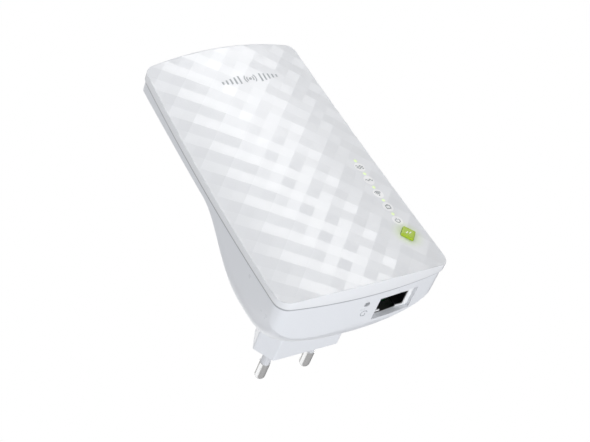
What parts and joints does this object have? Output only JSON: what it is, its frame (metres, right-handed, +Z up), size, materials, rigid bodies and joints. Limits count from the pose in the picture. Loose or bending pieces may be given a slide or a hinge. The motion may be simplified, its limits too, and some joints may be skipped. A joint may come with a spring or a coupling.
{
  "type": "wifi range extender",
  "caption": "Wall-plug wifi range extender: slim crowned cover on a deep rear housing, flat two-pin plug, network socket, front button and reset switch.",
  "frame": {"origin": "midway between the two pins, on the plug body's face that meets the wall socket", "axes": "+Y out of the plug face, along the pins, towards the wall; +Z up, along the cover's length; +X to the right of someone facing the cover"},
  "size_m": [0.0658, 0.0742, 0.11],
  "materials": {
    "white_gloss": "glossy white moulded plastic",
    "pin_metal": "bright nickel-plated brass",
    "sleeve_plastic": "satin light grey plastic",
    "green_cap": "glossy yellow-green plastic",
    "circuit_board": "green solder mask on glass epoxy",
    "solder": "dull bright solder",
    "screw_steel": "zinc-plated steel",
    "gold_contact": "gold-flashed bronze",
    "socket_plastic": "off-white moulded plastic",
    "black_plastic": "matt black epoxy",
    "plunger_plastic": "dark satin plastic",
    "led_lens": "pale yellow lens",
    "clear_guide": "clear polycarbonate",
    "tinned_steel": "tinned sheet steel",
    "lead_sheath": "thin black sheath",
    "capacitor_can": "shrink sleeve over an aluminium can",
    "ferrite": "dark grey ferrite",
    "winding_tape": "yellow insulating tape",
    "ceramic_blue": "blue dipped ceramic",
    "resistor_body": "flameproof coating",
    "clear_film": "translucent polyester film",
    "label_film": "blank silver-grey label"
  },
  "bodies": {
    "housing": {"antenna_lead_left": "lead_sheath", "antenna_lead_right": "lead_sheath", "antenna_left": "tinned_steel", "antenna_right": "tinned_steel", "board_link_pins": "gold_contact", "bridge_rectifier": "black_plastic", "button_switch": "black_plastic", "clock_crystal": "tinned_steel", "ethernet_jack": "socket_plastic", "front_cover": "white_gloss", "fusible_resistor": "resistor_body", "input_capacitors": "capacitor_can", "input_choke": "ferrite", "insulation_sheet": "clear_film", "jack_contacts": "gold_contact", "light_guide": "clear_guide", "main_board": "circuit_board", "main_board_screws": "screw_steel", "memory_chip": "black_plastic", "network_processor": "black_plastic", "network_transformer": "black_plastic", "output_capacitors": "capacitor_can", "pin_sleeve_left": "sleeve_plastic", "pin_sleeve_right": "sleeve_plastic", "pin_solder_joints": "solder", "plug_body": "white_gloss", "plug_pin_left": "pin_metal", "plug_pin_right": "pin_metal", "power_board": "circuit_board", "power_board_screws": "screw_steel", "power_controller": "black_plastic", "radio_chip": "black_plastic", "rating_label": "label_film", "rear_housing": "white_gloss", "reset_switch": "black_plastic", "shield_can": "tinned_steel", "status_leds": "led_lens", "suppression_capacitor": "ceramic_blue", "transformer_core": "ferrite", "transformer_winding": "winding_tape"},
    "front_button": {"front_button": "green_cap"},
    "switch_plunger": {"button_plunger": "plunger_plastic"},
    "reset_plunger": {"reset_plunger": "plunger_plastic"}
  },
  "joints": [
    {"name": "front_button_press", "type": "slide", "parent": "housing", "child": "front_button", "axis": [0, 1, 0], "range_m": [0, 0.0003], "stiffness_N_per_m": 800, "springref_m": -0.0003},
    {"name": "switch_plunger_press", "type": "slide", "parent": "housing", "child": "switch_plunger", "axis": [0, 1, 0], "range_m": [0, 0.0003]},
    {"name": "reset_plunger_press", "type": "slide", "parent": "housing", "child": "reset_plunger", "axis": [0, 0, 1], "range_m": [0, 0.00025], "stiffness_N_per_m": 800, "springref_m": -0.0003}
  ],
  "couplings": [
    {"joint": "switch_plunger_press", "follows": "front_button_press", "ratio": 1}
  ]
}
